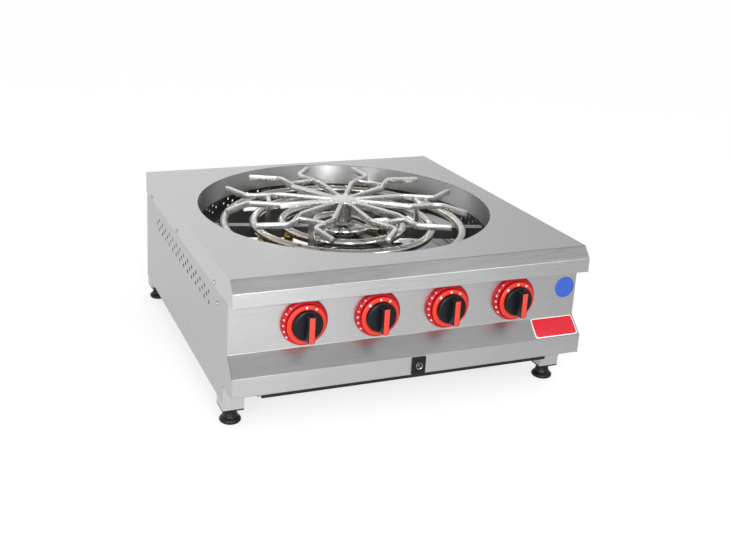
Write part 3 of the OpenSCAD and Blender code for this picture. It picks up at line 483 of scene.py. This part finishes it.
# Each mark: its direction in degrees and its width in millimetres, and on the skirt its length too.
DIAL_MARKS = ((133, 2.4), (150, 2.6), (166, 2.9), (181, 3.2), (197, 3.6), (214, 4.0))
SKIRT_MARKS = ((93, 3.4, 4.2), (60, 3.0, 4.0), (134, 4.4, 4.8))
DIAL_MARK_L, DIAL_MARK_T, DIAL_MARK_ROUND = 0.0031, 0.0007, 0.00022
SKIRT_MARK_AT, SKIRT_MARK_T, SKIRT_MARK_ROUND = 0.0321, 0.0006, 0.00018


def plastic(name, colour, dullness, relief=0.06, gloss=0.3):
    mat = metal(name, colour, dullness, streak=(1, 1, 1), fineness=700, contrast=0.18,
                relief=relief, metallic=0)
    mat.node_tree.nodes["Principled BSDF"].inputs["Specular IOR Level"].default_value = gloss
    return mat


def block(bm, size, centre, rounding, segments=2, turn=0.0):
    cube = bmesh.ops.create_cube(bm, size=1)["verts"]
    bmesh.ops.scale(bm, vec=size, verts=cube)
    own = set(cube)
    edges = [e for e in bm.edges if e.verts[0] in own]
    cube = bmesh.ops.bevel(bm, geom=edges, offset=rounding, affect="EDGES", segments=segments,
                           profile=0.5, material=-1)["verts"]
    bmesh.ops.translate(bm, vec=centre, verts=cube)
    if turn:
        bmesh.ops.rotate(bm, cent=(0, 0, 0), matrix=Matrix.Rotation(turn, 3, "Z"), verts=cube)
    return cube


def on_panel(bm, x, stand, z=KNOB_Z):
    place = Matrix.Translation((x, PANEL_Y - stand, z)) @ Matrix.Rotation(math.pi / 2, 4, "X")
    bmesh.ops.transform(bm, matrix=place, verts=bm.verts)


dial_red = plastic("dial_red", (0.46, 0.004, 0.012), 0.26)
skirt_red = plastic("skirt_red", (0.76, 0.045, 0.025), 0.3)
inlay_red = plastic("inlay_red", (0.76, 0.065, 0.045), 0.34)
cap_black = plastic("cap_black", (0.007, 0.009, 0.011), 0.3, gloss=0.22)
mark_white = plastic("mark_white", (0.86, 0.86, 0.84), 0.4)
for k, x in enumerate(KNOB_X, 1):
    # The dial ring, and the marks on its slope.
    bm = bmesh.new()
    turned(bm, DIAL)
    on_panel(bm, x, 0)
    ring = new_piece(f"dial_ring_{k}", bm, "stove", smooth=35, materials=[dial_red])
    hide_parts("dial_rings")
    bm = bmesh.new()
    for angle, size in DIAL_MARKS:
        mark = block(bm, (DIAL_MARK_L, size / 1000, DIAL_MARK_T), (0, 0, 0), DIAL_MARK_ROUND)
        onto_slope = (Matrix.Rotation(math.radians(angle), 4, "Z")
                      @ Matrix.Translation((SLOPE_R, 0, SLOPE_H))
                      @ Matrix.Rotation(SLOPE_TILT, 4, "Y"))
        bmesh.ops.transform(bm, matrix=onto_slope, verts=mark)
    on_panel(bm, x, 0)
    marks = new_piece(f"dial_marks_{k}", bm, "stove", smooth=35, materials=[mark_white])

    # The skirt with its marks; the first one has one mark fewer.
    bm = bmesh.new()
    turned(bm, SKIRT)
    on_panel(bm, x, SKIRT_STAND)
    skirt = new_piece(f"skirt_{k}", bm, f"control_{k}", smooth=35, materials=[skirt_red])
    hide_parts(f"knob_skirt_{k}")
    bm = bmesh.new()
    for angle, wide, long in SKIRT_MARKS[:2 if k == 1 else 3]:
        block(bm, (long / 1000, wide / 1000, SKIRT_MARK_T), (SKIRT_MARK_AT, 0, SKIRT_T),
              SKIRT_MARK_ROUND, turn=math.radians(angle))
    on_panel(bm, x, SKIRT_STAND)
    marks = new_piece(f"skirt_marks_{k}", bm, f"control_{k}", smooth=35, materials=[mark_white])

    # The cap, its grip with rounded ends, and the inlay in the grip.
    bm = bmesh.new()
    turned(bm, CAP)
    grip = bmesh.ops.create_cube(bm, size=1)["verts"]
    bmesh.ops.scale(bm, vec=(GRIP_W, GRIP_L, GRIP_H - GRIP_ROOT), verts=grip)
    bmesh.ops.translate(bm, vec=(0, 0, (GRIP_H + GRIP_ROOT) / 2), verts=grip)
    front = [v for v in grip if v.co.z > GRIP_H / 2]
    bmesh.ops.scale(bm, vec=(GRIP_TOP_W / GRIP_W, GRIP_TAPER, 1), verts=front)
    upright = [e for v in front for e in v.link_edges
               if abs(e.verts[0].co.z - e.verts[1].co.z) > GRIP_H / 3]
    bmesh.ops.bevel(bm, geom=upright, offset=GRIP_CORNER, affect="EDGES", segments=4, profile=0.5,
                    material=-1)
    crown = [e for e in bm.edges if all(v.co.z > GRIP_H - 0.0001 for v in e.verts)]
    bmesh.ops.bevel(bm, geom=crown, offset=GRIP_EDGE, affect="EDGES", segments=2, profile=0.5,
                    material=-1)
    on_panel(bm, x, SKIRT_STAND)
    cap = new_piece(f"cap_{k}", bm, f"control_{k}", smooth=35, materials=[cap_black])
    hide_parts(f"knob_{k}")
    bm = bmesh.new()
    block(bm, (INLAY_W, INLAY_L, INLAY_T), (0, -INLAY_LOW, GRIP_H - INLAY_SUNK), INLAY_ROUND,
          segments=3)
    on_panel(bm, x, SKIRT_STAND)
    inlay = new_piece(f"inlay_{k}", bm, f"control_{k}", smooth=35, materials=[inlay_red])

# Igniter: a black moulded bezel clipped into the apron. A chromed collar with a glossy black
# button in it moves in its middle.
APRON_Y, SPARK_X, SPARK_Z, SPARK_STAND, BEZEL_EDGE = -0.3585, 0.005, 0.1015, 0.003, 0.0008
COLLAR_BORE, COLLAR_R, COLLAR_BACK = 0.0053, 0.007, -0.018
COLLAR = ((COLLAR_BORE, COLLAR_BACK), (COLLAR_R, COLLAR_BACK), (COLLAR_R, 0.0008), (0.0066, 0.0015),
          (0.006, 0.0017), (0.0055, 0.0014), (COLLAR_BORE, 0.0006), (COLLAR_BORE, COLLAR_BACK))
BUTTON = ((0, 0.004), (0.0016, 0.0039), (0.0032, 0.0034), (0.0044, 0.0026), (0.0051, 0.0014),
          (0.0052, 0.0004), (0.0052, -0.0178), (0, -0.0178))
bezel_black = plastic("bezel_black", (0.009, 0.009, 0.01), 0.3, gloss=0.22)
button_chrome = metal("button_chrome", (0.5, 0.5, 0.5), 0.12, streak=(1, 1, 1), fineness=200,
                      contrast=0.1)
button_black = plastic("button_black", (0.012, 0.012, 0.013), 0.1, relief=0.02, gloss=0.7)
softened("igniter_housing", BEZEL_EDGE, "stove", [bezel_black])
at_button = (Matrix.Translation((SPARK_X, APRON_Y - SPARK_STAND, SPARK_Z))
             @ Matrix.Rotation(math.pi / 2, 4, "X"))
bm = bmesh.new()
turned(bm, COLLAR, steps=64)
bmesh.ops.transform(bm, matrix=at_button, verts=bm.verts)
collar = new_piece("spark_collar", bm, "igniter_push", smooth=40, materials=[button_chrome])
bm = bmesh.new()
turned(bm, BUTTON, steps=64)
bmesh.ops.transform(bm, matrix=at_button, verts=bm.verts)
button = new_piece("spark_button", bm, "igniter_push", smooth=40, materials=[button_black])
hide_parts("igniter_button")

# Feet: black moulded pads on threaded studs that screw into the legs, and black caps pressed over
# the lower ends of the leg angles.
MOULDED_EDGE = 0.0006
foot_black = plastic("foot_black", (0.008, 0.008, 0.009), 0.32)
for k in range(1, 5):
    softened(f"foot_{k}", MOULDED_EDGE, f"levelling_foot_{k}", [foot_black])
softened("leg_end_plates", MOULDED_EDGE, "stove", [foot_black])

# Screws: domed, zinc-plated heads in the top plate's skirts and near the front corners. They hold
# the folded sheets together.
finish(pipe_steel, "panel_screws")

# Tray shade strip: a black strip over the tray's front lip. Its black is painted shade: it stands
# for the shadow under the apron, and shows as a dark line there.
TRAY_Y, LIP_LOW, SHADE_STRIP_W, SHADE_STRIP_ROUND = -0.3395, 0.071, 0.576, 0.0006
FRONT_T, FRONT_H, FRONT_STAND, FRONT_UP = 0.0019, 0.0098, 0.001, 0.0021
UNDER_L, UNDER_T, UNDER_IN, UNDER_DOWN = 0.007, 0.0022, 0.0018, 0.0017
# Painted shade: black, for the shadow under the apron.
shade_strip_black = plastic("shade_strip_black", (0.01, 0.01, 0.01), 0.45)
bm = bmesh.new()
block(bm, (SHADE_STRIP_W, FRONT_T, FRONT_H), (0, TRAY_Y - FRONT_STAND, LIP_LOW + FRONT_UP),
      SHADE_STRIP_ROUND, segments=3)
block(bm, (SHADE_STRIP_W, UNDER_L, UNDER_T), (0, TRAY_Y + UNDER_IN, LIP_LOW - UNDER_DOWN),
      SHADE_STRIP_ROUND, segments=3)
shade_strip = new_piece("tray_shade_strip", bm, "tray", smooth=35, materials=[shade_strip_black])

# Blank plates: a small round one on the panel, and one with a white rim on the ledge at the right.
# Both are enamelled sheet with nothing on them, stuck flat.
ROUND_X, ROUND_Z, ROUND_R = 0.324, 0.209, 0.021
ROUND = ((0, 0.0007), (ROUND_R - 0.0007, 0.0007), (ROUND_R - 0.0002, 0.0005), (ROUND_R, 0), (0, 0))
PLATE_W, PLATE_L, PLATE_CORNER, RIM = 0.0925, 0.0395, 0.005, 0.0018
RIM_T, RIM_STAND, MIDDLE_T, MIDDLE_STAND = 0.0006, 0.00005, 0.0004, 0.00055
PLATE_AT = Vector((0.29925, -0.34278, 0.13603))
LEDGE_UP, LEDGE_OUT = Vector((0, 0.70711, 0.70711)), Vector((0, -0.70711, 0.70711))


def enamel_plate(name, width, length, thick, stand, corner, material):
    bm = bmesh.new()
    cube = bmesh.ops.create_cube(bm, size=1)["verts"]
    bmesh.ops.scale(bm, vec=(width, length, thick), verts=cube)
    upright = [e for e in bm.edges if abs(e.verts[0].co.z - e.verts[1].co.z) > thick / 2]
    bmesh.ops.bevel(bm, geom=upright, offset=corner, affect="EDGES", segments=8, profile=0.5,
                    material=-1)
    rim = [e for e in bm.edges if all(v.co.z > thick * 0.49 for v in e.verts)]
    bmesh.ops.bevel(bm, geom=rim, offset=thick * 0.45, affect="EDGES", segments=3, profile=0.5,
                    material=-1)
    middle = PLATE_AT + LEDGE_OUT * (stand + thick / 2)
    onto_ledge = Matrix((
        (1, LEDGE_UP.x, LEDGE_OUT.x, middle.x),
        (0, LEDGE_UP.y, LEDGE_OUT.y, middle.y),
        (0, LEDGE_UP.z, LEDGE_OUT.z, middle.z),
        (0, 0, 0, 1)))
    bmesh.ops.transform(bm, verts=bm.verts, matrix=onto_ledge)
    new_piece(name, bm, "stove", smooth=35, materials=[material])


blue = plastic("plate_blue", (0.045, 0.12, 0.53), 0.25)
red_enamel = plastic("plate_red", (0.62, 0.02, 0.035), 0.25)
white_enamel = plastic("plate_white", (0.88, 0.87, 0.86), 0.3)
bm = bmesh.new()
turned(bm, ROUND, steps=64)
on_panel(bm, ROUND_X, 0, z=ROUND_Z)
new_piece("round_plate", bm, "stove", smooth=35, materials=[blue])
enamel_plate("ledge_plate_rim", PLATE_W, PLATE_L, RIM_T, RIM_STAND, PLATE_CORNER, white_enamel)
enamel_plate("ledge_plate", PLATE_W - 2 * RIM, PLATE_L - 2 * RIM, MIDDLE_T, MIDDLE_STAND,
             PLATE_CORNER - RIM / 2, red_enamel)
